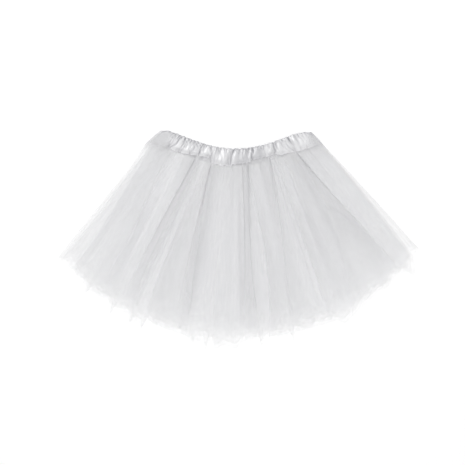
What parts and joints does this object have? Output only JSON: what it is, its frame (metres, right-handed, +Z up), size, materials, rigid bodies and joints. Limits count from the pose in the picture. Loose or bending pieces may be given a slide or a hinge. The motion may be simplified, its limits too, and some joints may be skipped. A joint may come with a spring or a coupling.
{
  "type": "ballet tutu",
  "caption": "Child's ballet tutu laid flat: layered gathered tulle skirts fanning out from a ruched satin elastic waistband.",
  "frame": {"origin": "on the surface the garment lies on, under the middle of its bounding box", "axes": "+X across the skirt to the viewer's right, +Y from hem to waist, +Z up out of the front"},
  "size_m": [0.5306, 0.3254, 0.0352],
  "materials": {
    "satin": "white polyester satin ruched over elastic, soft sheen",
    "tulle": "white nylon net, matte and see-through"
  },
  "bodies": {
    "root": {"waistband": "satin", "tulle_outer": "tulle", "tulle_middle": "tulle", "tulle_inner": "tulle"}
  },
  "joints": []
}
